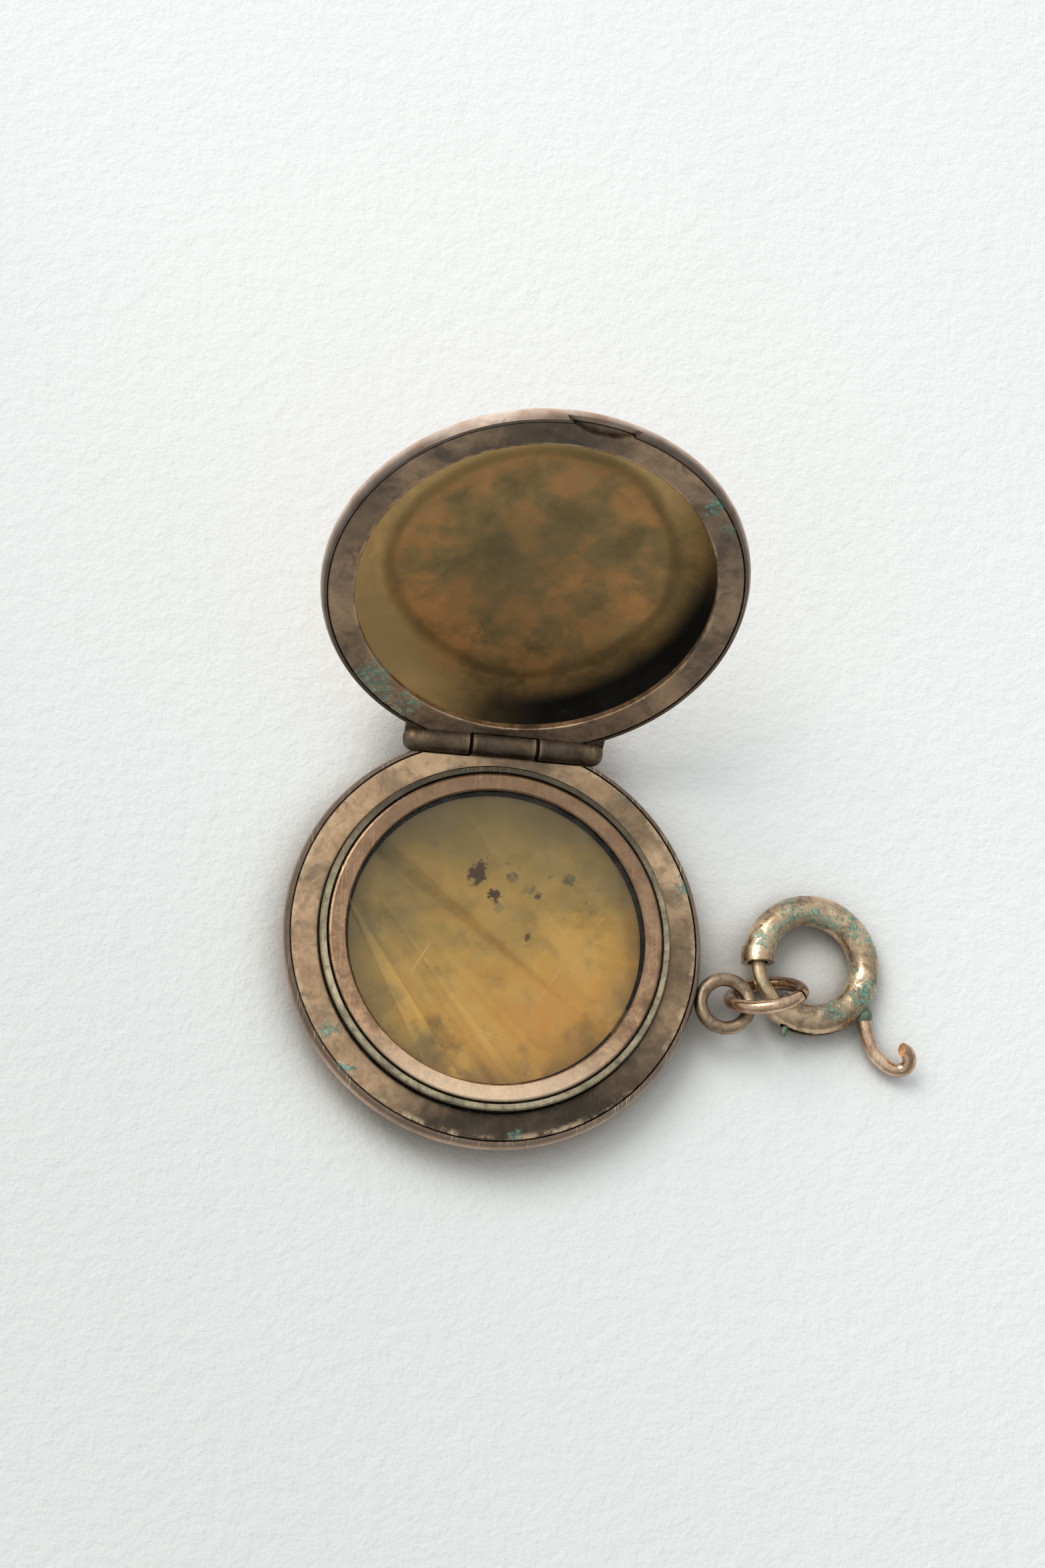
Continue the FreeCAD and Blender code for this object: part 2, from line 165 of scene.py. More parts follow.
# ---------------------------------------------------------------- shader helpers
class Graph:
    """A material's nodes, with short names for the patterns used over and over."""

    def __init__(self, name):
        self.material = bpy.data.materials.new(name)
        self.material.use_nodes = True
        self.tree = self.material.node_tree
        self.tree.nodes.clear()
        self.output = self.add("ShaderNodeOutputMaterial")
        self.coords = self.add("ShaderNodeTexCoord")
        scale = self.add("ShaderNodeVectorMath", operation="SCALE")
        self.link(self.coords.outputs["Object"], scale.inputs[0])
        scale.inputs["Scale"].default_value = 1 / MM
        self.place = scale.outputs[0]

    def add(self, kind, **settings):
        node = self.tree.nodes.new(kind)
        for key, value in settings.items():
            setattr(node, key, value)
        return node

    def link(self, source, target):
        self.tree.links.new(source, target)

    def feed(self, socket, value):
        """Set a socket from a number, a colour or another node's output."""
        if isinstance(value, bpy.types.NodeSocket):
            self.link(value, socket)
        elif isinstance(value, (tuple, list)) and socket.type == "RGBA":
            socket.default_value = (*value[:3], 1)
        else:
            socket.default_value = value

    def stretched(self, scale=(1, 1, 1), turn=(0, 0, 0), shift=(0, 0, 0)):
        """The place on the piece, stretched, turned and shifted."""
        node = self.add("ShaderNodeMapping")
        self.link(self.place, node.inputs["Vector"])
        node.inputs["Location"].default_value = shift
        node.inputs["Rotation"].default_value = turn
        node.inputs["Scale"].default_value = scale
        return node.outputs[0]

    def noise(self, scale, detail=4, roughness=0.55, distortion=0.0, at=None, shift=(0, 0, 0)):
        """Cloudy pattern, with scale in waves per millimetre."""
        node = self.add("ShaderNodeTexNoise")
        self.link(at or self.stretched(shift=shift), node.inputs["Vector"])
        node.inputs["Scale"].default_value = scale
        node.inputs["Detail"].default_value = detail
        node.inputs["Roughness"].default_value = roughness
        node.inputs["Distortion"].default_value = distortion
        return node.outputs[0]

    def cells(self, scale, shift=(0, 0, 0)):
        """Distance to the nearest of many scattered points."""
        node = self.add("ShaderNodeTexVoronoi")
        self.link(self.stretched(shift=shift), node.inputs["Vector"])
        node.inputs["Scale"].default_value = scale
        return node.outputs["Distance"]

    def math(self, operation, a, b=0.0, clamp=False):
        node = self.add("ShaderNodeMath", operation=operation, use_clamp=clamp)
        self.feed(node.inputs[0], a)
        self.feed(node.inputs[1], b)
        return node.outputs[0]

    def sum(self, a, b):
        return self.math("ADD", a, b)

    def times(self, a, b):
        return self.math("MULTIPLY", a, b)

    def most(self, a, b):
        return self.math("MAXIMUM", a, b)

    def vector(self, operation, a, b=(0, 0, 0)):
        """A vector from two vectors, or a number where the operation measures something."""
        node = self.add("ShaderNodeVectorMath", operation=operation)
        self.feed(node.inputs[0], a)
        self.feed(node.inputs[1], b)
        measures = operation in ("DISTANCE", "DOT_PRODUCT", "LENGTH")
        return node.outputs["Value" if measures else "Vector"]

    def span(self, value, low, high, to_low=0.0, to_high=1.0):
        """Smooth step of a value from low to high, which may also run downward."""
        node = self.add("ShaderNodeMapRange", clamp=True, interpolation_type="SMOOTHSTEP")
        self.feed(node.inputs["Value"], value)
        node.inputs["From Min"].default_value = low
        node.inputs["From Max"].default_value = high
        node.inputs["To Min"].default_value = to_low
        node.inputs["To Max"].default_value = to_high
        return node.outputs["Result"]

    def band(self, value, start, full, full_end, end):
        """Smooth band: 0 at the start and the end, 1 in between."""
        return self.times(self.span(value, start, full), self.span(value, end, full_end))

    def mix(self, amount, first, second):
        node = self.add("ShaderNodeMix", data_type="RGBA")
        self.feed(node.inputs["Factor"], amount)
        self.feed(node.inputs[6], first)
        self.feed(node.inputs[7], second)
        return node.outputs[2]

    def ramp(self, value, *stops):
        """Colour from a value, through stops that each hold a position and a colour."""
        node = self.add("ShaderNodeValToRGB")
        self.feed(node.inputs[0], value)
        elements = node.color_ramp.elements
        while len(elements) < len(stops):
            elements.new(0.5)
        for element, (position, colour) in zip(elements, stops):
            element.position = position
            element.color = (*colour, 1)
        return node.outputs[0]

    def near(self, point, radius, soft=0.5, torn=0.5):
        """1 around a point given in millimetres, fading to 0 at the radius, with a torn edge."""
        tear = torn * radius
        ragged = self.span(self.noise(1.6 / radius, 5, 0.65, shift=point), 0.3, 0.7, -tear, tear)
        distance = self.sum(self.vector("DISTANCE", self.place, point), ragged)
        return self.span(distance, radius * (1 - soft), radius, 1.0, 0.0)

    def nearest_of(self, spots, soft=0.5, torn=0.5):
        """The strongest of several spots."""
        total = 0.0
        for point, radius, strength in spots:
            total = self.most(total, self.times(self.near(point, radius, soft, torn), strength))
        return total

    def along(self, heading, origin=(0, 0, 0)):
        """Distance in millimetres from the origin, measured along a heading."""
        return self.vector("DOT_PRODUCT", self.vector("SUBTRACT", self.place, origin), heading)

    def from_axis(self, origin=(0, 0, 0), axis=(0, 0, 1)):
        """Distance in millimetres from a straight axis, the middle of the base unless given."""
        offset = self.vector("SUBTRACT", self.place, origin)
        return self.vector("LENGTH", self.vector("CROSS_PRODUCT", offset, axis))

    def facing_in(self, centre):
        """1 where the surface faces a point inside the hollow, 0 on the outside."""
        offset = self.vector("SUBTRACT", self.place, centre)
        return self.math("LESS_THAN", self.vector("DOT_PRODUCT", self.coords.outputs["Normal"], offset), 0.0)

    def crevice(self, reach_mm):
        """0 in the open, 1 deep in a gap."""
        node = self.add("ShaderNodeAmbientOcclusion", samples=6)
        node.inputs["Distance"].default_value = reach_mm * MM
        return self.math("SUBTRACT", 1.0, node.outputs["AO"], clamp=True)

    def scratches(self, turn, fineness=1.0, share=0.62):
        """Thin straight lines all running one way, broken up along their length."""
        lines = self.noise(1.0, 2, 0.4, at=self.stretched((14 * fineness, 0.25, 0.25), turn))
        broken = self.noise(0.35, 2, 0.5, at=self.stretched((1, 1, 1), turn, (7, 3, 1)))
        return self.times(self.span(lines, share, share + 0.03), self.span(broken, 0.45, 0.6))

    def stroke(self, start, end, width):
        """1 on a thin straight line drawn between two points on a level surface, in millimetres."""
        heading = Vector(end) - Vector(start)
        length = heading.length
        heading.normalize()
        beside = Vector((-heading.y, heading.x, 0))
        run = self.along(heading, start)
        off = self.math("ABSOLUTE", self.along(beside, start))
        return self.times(self.band(run, 0.0, 0.3, length - 0.8, length), self.span(off, width, 0.3 * width))

    def flat_normal(self):
        """Normal of the flat face itself, so that a level disc or ring shades evenly."""
        return self.add("ShaderNodeNewGeometry").outputs["True Normal"]

    def bump(self, height, strength, distance_mm, after=None):
        """Normal for small relief, on top of an earlier normal if one is given."""
        node = self.add("ShaderNodeBump")
        node.inputs["Strength"].default_value = strength
        node.inputs["Distance"].default_value = distance_mm * MM
        self.feed(node.inputs["Height"], height)
        if after is not None:
            self.link(after, node.inputs["Normal"])
        return node.outputs[0]

    def fed(self, kind, **inputs):
        """The output of a new node whose inputs are fed by name, such as Base_Color for Base Color."""
        node = self.add(kind)
        for key, value in inputs.items():
            self.feed(node.inputs[key.replace("_", " ")], value)
        return node.outputs[0]

    def blend(self, amount, first, second):
        """Mix of two shaders, all second where the amount is 1."""
        node = self.add("ShaderNodeMixShader")
        self.feed(node.inputs[0], amount)
        self.link(first, node.inputs[1])
        self.link(second, node.inputs[2])
        return node.outputs[0]

    def finish(self, shader):
        self.link(shader, self.output.inputs["Surface"])
        return self.material


def patina_metal(name, dark, middle, bright, patch=0.35, rough=(0.28, 0.5), tarnish=0.5,
                 green=0.0, green_spots=(), crevice_green=0.3, scratch=0.5, dents=0.3,
                 tarnish_colour=(0.10, 0.075, 0.055), reach=0.7, seed=0.0, shading=None, level=False):
    """Old rolled-gold metal: patchy colour, brown tarnish, green corrosion, scratches, and grime with
    painted shade in the gaps.
    """
    g = Graph(name)
    shift = (seed * 3.1, seed * 1.7, seed * 2.3)

    # Patchy metal colour.
    broad = g.noise(patch, 5, 0.6, 0.4, shift=shift)
    fine = g.noise(patch * 9, 6, 0.7, shift=shift)
    pores = g.noise(9.0, 5, 0.75, shift=shift)
    tone = g.sum(g.times(broad, 0.7), g.times(fine, 0.3))
    colour = g.ramp(tone, (0.36, dark), (0.50, middle), (0.64, bright))

    # Brown film in stains and specks.
    stain = g.noise(patch * 2.2, 7, 0.68, 0.8, shift=(shift[0] + 11, shift[1], shift[2]))
    stained = g.times(g.span(stain, 0.46, 0.66), tarnish)
    specks = g.times(g.span(pores, 0.58, 0.70), tarnish)
    film = g.most(stained, specks)
    colour = g.mix(film, colour, tarnish_colour)

    if shading:
        colour = shading(g, colour)

    # Pale scratches in two directions.
    marks = g.most(g.scratches((0.2, 0.4, 0.5)), g.scratches((0.7, 0.1, 2.0), 1.6, 0.66))
    marks = g.times(marks, scratch)
    colour = g.mix(g.times(marks, 0.6), colour, [min(1, c * 1.5) for c in bright])

    # Grime and painted shade in the gaps.
    gap = g.crevice(reach)
    colour = g.mix(g.span(gap, 0.25, 0.8, 0, 0.85), colour, GRIME_AND_SHADE)

    # Green corrosion: scattered, in the gaps, and in the given spots.
    crust_noise = g.noise(1.1, 7, 0.72, 0.5, shift=(shift[0], shift[1] + 5, shift[2]))
    crust = g.times(g.span(crust_noise, 0.60 - 0.12 * green, 0.70), min(1.0, green))
    in_gap = g.times(g.span(gap, 0.3, 0.7), g.span(crust_noise, 0.48, 0.62))
    crust = g.most(crust, g.times(in_gap, crevice_green))
    if green_spots:
        grain = g.span(g.noise(2.6, 6, 0.75, shift=shift), 0.40, 0.58)
        crust = g.most(crust, g.times(g.nearest_of(green_spots), grain))
    green_tone = g.mix(g.span(g.noise(3.5, 4, 0.6, shift=shift), 0.35, 0.65), VERDIGRIS_DARK, VERDIGRIS_PALE)
    colour = g.mix(crust, colour, green_tone)

    # Film and corrosion are duller and less like metal.
    dull = g.most(crust, g.times(film, 0.55))
    roughness = g.sum(g.span(fine, 0.3, 0.7, rough[0], rough[1]), g.times(dull, 0.3))
    roughness = g.math("SUBTRACT", roughness, g.times(marks, 0.1), clamp=True)
    metallic = g.math("SUBTRACT", 1.0, g.most(crust, g.times(film, 0.35)), clamp=True)

    # Relief: shallow dents, pores, scratches cut in, and corrosion standing up.
    normal = g.bump(broad, dents, 0.12, g.flat_normal() if level else None)
    normal = g.bump(pores, 0.25, 0.02, normal)
    normal = g.bump(marks, 0.3, -0.012, normal)
    normal = g.bump(g.times(crust, crust_noise), 0.7, 0.08, normal)
    return g.finish(g.fed("ShaderNodeBsdfPrincipled", Base_Color=colour, Metallic=metallic,
                          Roughness=roughness, Normal=normal))


def paint(material, *names):
    """Put one material in every slot of the named nodes."""
    for name in names:
        slots = nodes[name].data.materials
        if not slots:
            slots.append(material)
        for index in range(len(slots)):
            slots[index] = material


# ---------------------------------------------------------------- metal
BASE_GREEN = level_spots(RIM_Z, (13.0, 4.8, 0.9, 1.0), (-14.0, 4.1, 0.8, 0.9), (-10.8, -7.2, 0.7, 0.8),
                         (-10.0, -9.9, 1.1, 0.9), (8.5, 10.6, 0.5, 0.7), (2.0, -13.4, 0.6, 0.5))
LID_GREEN = lid_spots(0, (-9.3, 9.0, 2.0, 0.8), (-7.2, 10.9, 1.2, 0.7), (10.4, -8.4, 0.9, 0.9),
                      (11.6, -6.6, 0.6, 0.8))
CLASP_GREEN = clasp_spots(
    (118, CLASP_RING_R, CLASP_TOP, 1.0, 0.9), (95, 3.3, CLASP_TOP, 0.9, 0.9), (70, 3.2, CLASP_TOP, 0.8, 0.8),
    (143, 3.2, CLASP_TOP, 0.9, 0.9), (45, CLASP_RING_R, CLASP_TOP, 1.1, 0.9), (33, 4.3, CLASP_TOP, 0.8, 0.9),
    (18, 4.6, CLASP_TOP, 0.6, 0.8), (-12, 4.5, CLASP_TOP, 0.8, 0.9), (-28, 3.9, CLASP_TOP, 1.0, 1.0),
    (-37, 4.5, CLASP_TOP, 1.0, 1.0), (-62, 3.5, CLASP_TOP, 0.9, 1.0), (-75, 3.3, CLASP_TOP, 0.8, 0.8),
    (162, 3.9, CLASP_TOP, 0.7, 0.8), (-5, 3.1, 0.2, 0.7, 0.7), (60, 4.6, CLASP_TOP, 0.5, 0.8))
# Dark patches on the base flange: painted shade and reflection, partly tarnish.
FLANGE_DARK = level_spots(RIM_Z, (2.0, 13.3, 5.0, 0.75), (0.8, -12.8, 6.5, 0.9), (6.0, -11.5, 6.5, 0.95),
                          (12.6, -1.0, 6.5, 0.55), (-2.0, -12.8, 5.0, 0.95), (10.5, -7.5, 5.0, 0.6),
                          (9.0, 9.5, 5.0, 0.5), (-13.0, 3.0, 1.5, 0.4), (-5.0, -12.0, 3.0, 0.5))
LID_FLANGE_DARK = lid_spots(0, (-3, -13, 9.0, 0.75), (0, 13, 5.0, 0.7), (-12.5, -5, 6.0, 0.55),
                            (11, -6, 3.0, 0.4))
LID_ORANGE = lid_spots(3, (-7.2, 4.5, 3.4, 0.75), (-4.2, 7.6, 2.8, 0.75), (1.5, 8.6, 3.0, 0.6),
                       (6.8, 2.5, 3.2, 0.5), (-8.6, -1.0, 2.4, 0.5), (2.5, 1.8, 2.0, 0.35),
                       (-2.5, -8.6, 3.0, 0.4), (6.2, -5.4, 2.6, 0.35))


def dark_seam(g, colour, radius, at, width, strength=0.9):
    """Thin dark line round a joint between two parts, painted as the shade in the gap there."""
    seam = g.band(radius, at - width, at - 0.4 * width, at + 0.4 * width, at + width)
    return g.mix(g.times(seam, strength), colour, NEAR_BLACK)


def base_flange_shading(g, colour):
    """Browner with painted shade on the side away from the hinge and in patches, with a rubbed outer edge
    and painted shade in two seams.
    """
    radius = g.from_axis()
    # Painted shade and reflection in patches, partly tarnish.
    colour = g.mix(g.nearest_of(FLANGE_DARK, 1.0, 0.3), colour, DEEP_BROWN)
    # Painted shade, darker on the side away from the hinge.
    away_from_hinge = g.sum(g.along((0.25, -1, 0)), g.span(g.noise(0.5, 4, 0.6), 0.3, 0.7, -1.0, 1.0))
    colour = g.mix(g.span(away_from_hinge, 9.5, 13.0, 0.0, 0.75), colour, DEEP_BROWN)
    at_rim = g.span(radius, RIM_LIP_R - 0.6, RIM_LIP_R - 0.2)
    worn = g.times(at_rim, g.span(g.noise(0.6, 5, 0.7), 0.48, 0.62))
    colour = g.mix(g.times(worn, 0.6), colour, RUBBED_RIM)
    # Painted shade in the gaps at the lip and at the collar.
    colour = dark_seam(g, colour, radius, RIM_LIP_R, 0.13)
    return dark_seam(g, colour, radius, FLANGE_BORE_R, 0.2)


def lid_flange_shading(g, colour):
    """Grey brown patches, a rubbed inner edge and painted shade in the seam at the lip."""
    radius = g.from_axis(lid_middle, lid_deeper)
    colour = g.mix(g.nearest_of(LID_FLANGE_DARK, 1.0, 0.3), colour, LID_FLANGE_PATCH)
    at_bore = g.span(radius, LID_WALL_R + 0.25, LID_WALL_R + 0.05)
    worn = g.times(at_bore, g.span(g.noise(0.5, 5, 0.7), 0.42, 0.6))
    colour = g.mix(g.times(worn, 0.7), colour, RUBBED_BORE)
    # Painted shade in the seam at the lip.
    return dark_seam(g, colour, radius, RIM_LIP_R, 0.16)


def lid_shell_shading(g, colour):
    """Olive brown floor, a golden band of painted reflection where the side turns up, and one side in deep
    painted shadow.
    """
    radius = g.from_axis(lid_middle, lid_deeper)
    dark_heading = (Vector((0.72, 0, 0)) + 0.69 * lid_toward_hinge).normalized()
    lean = g.along(dark_heading, lid_middle)
    bearing = g.math("DIVIDE", lean, g.most(radius, 1.0))
    wander = g.span(g.noise(0.12, 2, 0.4), 0.3, 0.7, -0.3, 0.3)
    loose = g.sum(radius, wander)

    # Mottled floor, greener in the middle, with orange clouds.
    patches = g.noise(0.30, 4, 0.55, 0.2, shift=(5, 1, 2))
    mottled = g.ramp(patches, (0.34, (0.17, 0.135, 0.065)), (0.48, (0.32, 0.225, 0.105)),
                     (0.58, (0.56, 0.29, 0.115)), (0.70, (0.46, 0.30, 0.13)))
    colour = g.mix(g.span(loose, 10.2, 7.6, 0.0, 0.7), colour, mottled)
    colour = g.mix(g.span(radius, 8.5, 0.5, 0.0, 0.5), colour, (0.17, 0.14, 0.075))
    colour = g.mix(g.nearest_of(LID_ORANGE, 1.0, 0.45), colour, (0.66, 0.33, 0.12))

    # Golden side of painted reflection, away from the painted shadow, with a darker groove round its foot.
    golden = g.times(g.span(loose, 8.8, 10.4), g.span(bearing, 0.6, -0.1))
    colour = g.mix(g.times(golden, 0.75), colour, (0.66, 0.44, 0.19))
    colour = g.mix(g.times(g.band(loose, *LID_GROOVE), 0.4), colour, (0.10, 0.075, 0.03))

    # Painted shadow on the side by the hinge, and a little on the side across from it.
    reach = g.sum(radius, g.times(bearing, 1.2))
    shade = g.times(g.span(bearing, 0.15, 0.85), g.span(reach, 10.9, 13.0))
    colour = g.mix(shade, colour, NEAR_BLACK)
    away = g.along(-lid_toward_hinge, lid_middle)
    colour = g.mix(g.span(away, 10.0, 12.0, 0.0, 0.2), colour, (0.10, 0.08, 0.035))

    # The outside: bright skin that goes dark near the lip.
    skin = g.ramp(g.noise(0.5, 5, 0.6), (0.35, (0.66, 0.44, 0.32)), (0.65, (0.98, 0.80, 0.66)))
    near_lip = g.span(g.along(lid_deeper, lid_middle), 0.9, 0.1, 0.0, 0.85)
    skin = g.mix(near_lip, skin, (0.07, 0.055, 0.042))
    return g.mix(g.facing_in(lid_middle + HOLLOW_MIDDLE * lid_deeper), skin, colour)


def back_shell_shading(g, colour):
    """The lip round the rim has gone dark."""
    near_rim = g.span(g.along((0, 0, 1)), RIM_Z - 0.7, RIM_Z - 0.05, 0.0, 0.85)
    return g.mix(near_rim, colour, (0.09, 0.07, 0.052))


def knuckle_shading(g, colour):
    """Gaps between the three knuckles painted black as shade, rubbed bright beside them."""
    across = g.math("ABSOLUTE", g.along((1, 0, 0)))
    from_gap = g.math("ABSOLUTE", g.math("SUBTRACT", across, KNUCKLE_END))
    colour = g.mix(g.span(from_gap, 0.45, 0.2, 0.0, 0.4), colour, (0.42, 0.30, 0.18))
    # Painted shade in the gaps between the knuckles.
    return g.mix(g.span(from_gap, 0.16, 0.1), colour, NEAR_BLACK)


def collar_shading(g, colour):
    """Nearly black toward the hinge and on the walls below the top edge, all painted shade, with the top
    edge left lighter.
    """
    # Painted shade toward the hinge.
    colour = g.mix(g.span(g.along((0, 1, 0)), -1.0, 10.0, 0.0, 0.85), colour, DEEP_BROWN)
    # Painted shadow on the walls below the top edge.
    painted_wall_shadow = g.span(g.along((0, 0, 1)), COLLAR_TOP_Z - 0.12, COLLAR_TOP_Z - 0.4)
    return g.mix(g.times(painted_wall_shadow, 0.85), colour, NEAR_BLACK)


def bezel_shading(g, colour):
    """Greyer and darker toward the hinge with painted shade, lighter away from it with painted light, and
    painted shade in the gap against the collar.
    """
    toward_hinge = g.along((0, 1, 0))
    # Painted shade toward the hinge.
    colour = g.mix(g.span(toward_hinge, -9.0, 9.0, 0.0, 0.75), colour, (0.20, 0.125, 0.075))
    # Painted light on the side away from the hinge.
    colour = g.mix(g.span(toward_hinge, -6.0, -11.0, 0.0, 0.6), colour, (0.95, 0.72, 0.50))
    # Painted shade in the gap against the collar.
    return dark_seam(g, colour, g.from_axis(), BEZEL_R, 0.16, 0.7)


paint(patina_metal("shell skin", (0.34, 0.20, 0.13), (0.62, 0.40, 0.27), (0.80, 0.56, 0.40),
                   patch=0.12, rough=(0.22, 0.42), tarnish=0.45, green=0.15, seed=1,
                   shading=back_shell_shading), "back_shell")
paint(patina_metal("lid shell", (0.16, 0.105, 0.045), (0.34, 0.215, 0.085), (0.52, 0.31, 0.12),
                   patch=0.16, rough=(0.34, 0.5), tarnish=0.25, green=0.04, scratch=0.0, seed=2,
                   tarnish_colour=(0.10, 0.085, 0.04), reach=1.5, shading=lid_shell_shading), "lid_shell")
paint(patina_metal("base flange", (0.29, 0.19, 0.115), (0.42, 0.28, 0.165), (0.55, 0.385, 0.235),
                   patch=0.25, rough=(0.30, 0.52), tarnish=0.5, green=0.12, green_spots=BASE_GREEN,
                   scratch=0.05, seed=3, shading=base_flange_shading, level=True), "base_flange")
paint(patina_metal("lid flange", (0.20, 0.15, 0.11), (0.40, 0.275, 0.18), (0.58, 0.40, 0.25),
                   patch=0.22, rough=(0.34, 0.56), tarnish=0.6, green=0.10, green_spots=LID_GREEN,
                   scratch=0.05, seed=4, shading=lid_flange_shading, level=True), "lid_flange")
paint(patina_metal("collar", (0.17, 0.15, 0.10), (0.36, 0.31, 0.20), (0.55, 0.46, 0.31),
                   patch=0.4, rough=(0.3, 0.5), tarnish=0.6, green=0.12, scratch=0.2, seed=5,
                   shading=collar_shading), "snap_collar", "frame_seat")
paint(patina_metal("bezel", (0.22, 0.125, 0.07), (0.40, 0.24, 0.135), (0.60, 0.385, 0.23),
                   patch=0.5, rough=(0.24, 0.42), tarnish=0.5, green=0.05, scratch=0.3, seed=6,
                   shading=bezel_shading), "bezel_ring")
paint(patina_metal("knuckles", (0.065, 0.05, 0.033), (0.12, 0.088, 0.056), (0.23, 0.16, 0.095),
                   patch=0.5, rough=(0.38, 0.58), tarnish=0.7, green=0.15, scratch=0.4, reach=0.4, seed=7,
                   shading=knuckle_shading),
      "lid_knuckle_left", "lid_knuckle_right", "base_knuckle", "hinge_pin")
paint(patina_metal("bail", (0.20, 0.15, 0.10), (0.38, 0.28, 0.18), (0.66, 0.48, 0.32),
                   patch=0.5, rough=(0.3, 0.5), tarnish=0.7, green=0.2, seed=8), "bail_loop")
paint(patina_metal("jump ring", (0.34, 0.215, 0.13), (0.58, 0.38, 0.245), (0.88, 0.63, 0.44),
                   patch=0.5, rough=(0.12, 0.27), tarnish=0.4, green=0.05, seed=9), "jump_ring", "clasp_eye")
paint(patina_metal("clasp tube", (0.36, 0.25, 0.15), (0.60, 0.43, 0.27), (0.84, 0.64, 0.42),
                   patch=0.3, rough=(0.15, 0.32), tarnish=0.75, green=0.35, green_spots=CLASP_GREEN,
                   seed=10), "clasp_tube", "mouth_ferrule")
paint(patina_metal("tongue", (0.30, 0.22, 0.13), (0.50, 0.38, 0.23), (0.74, 0.57, 0.36),
                   patch=0.6, rough=(0.25, 0.42), tarnish=0.5, green=0.15, seed=11),
      "clasp_tongue", "spring_stop")
paint(patina_metal("green solder", (0.12, 0.16, 0.11), (0.20, 0.28, 0.20), (0.40, 0.36, 0.24),
                   patch=0.8, rough=(0.5, 0.7), tarnish=0.3, green=1.0, seed=12), "eye_weld", "thumb_pin")
paint(patina_metal("spring wire", (0.15, 0.14, 0.13), (0.28, 0.26, 0.24), (0.45, 0.42, 0.38),
                   patch=1.0, rough=(0.3, 0.5), tarnish=0.4, seed=13), "clasp_spring")


# ---------------------------------------------------------------- window and what lies under it
BLOTS = level_spots(WINDOW_Z, (-1.4, 4.3, 0.8, 0.9), (-1.1, 5.0, 0.5, 0.9), (-0.75, 5.6, 0.3, 0.7),
                    (-0.1, 3.0, 0.6, 0.95), (0.7, 5.3, 0.3, 0.6), (2.8, 3.2, 0.38, 0.95),
                    (1.8, 3.3, 0.22, 0.8), (2.15, 0.35, 0.4, 0.85), (2.2, -0.3, 0.28, 0.8),
                    (6.1, 3.0, 0.3, 0.45))
GREEN_BLOTS = level_spots(WINDOW_Z, (1.0, 4.35, 0.5, 0.8), (4.95, 4.5, 0.6, 0.8), (2.3, 3.6, 0.5, 0.6),
                          (3.6, 4.6, 0.35, 0.6), (0.1, 2.3, 0.5, 0.5))
BACKING_STAINS = level_spots(WINDOW_Z, (-4.2, -7.6, 2.4, 0.7), (-9.0, 1.0, 2.6, 0.6), (-7.5, -5.0, 2.0, 0.4),
                             (4.5, 7.5, 3.5, 0.4), (5.5, 4.0, 3.0, 0.3))
BACKING_BRIGHT = level_spots(WINDOW_Z, (-2.0, -8.6, 1.3, 0.7), (3.0, -8.0, 2.0, 0.6), (7.5, -5.2, 1.8, 0.5),
                             (0.5, -3.5, 3.5, 0.3), (9.0, -1.0, 1.4, 0.4))

# Hair scratches on the window: x and y of both ends in millimetres, then the strength.
WINDOW_SCRATCHES = (((-4.4, -0.8), (-5.8, -3.2), 0.5), ((4.6, -1.6), (3.0, -4.2), 0.3),
                    ((6.6, 1.2), (7.6, 2.3), 0.3), ((-1.2, -6.4), (0.9, -7.0), 0.25))
SCRATCH_WIDTH = 0.05
WINDOW_TINT = (0.97, 0.95, 0.88)
WINDOW_IOR = 1.42
DUST_COLOUR = (0.55, 0.47, 0.30)


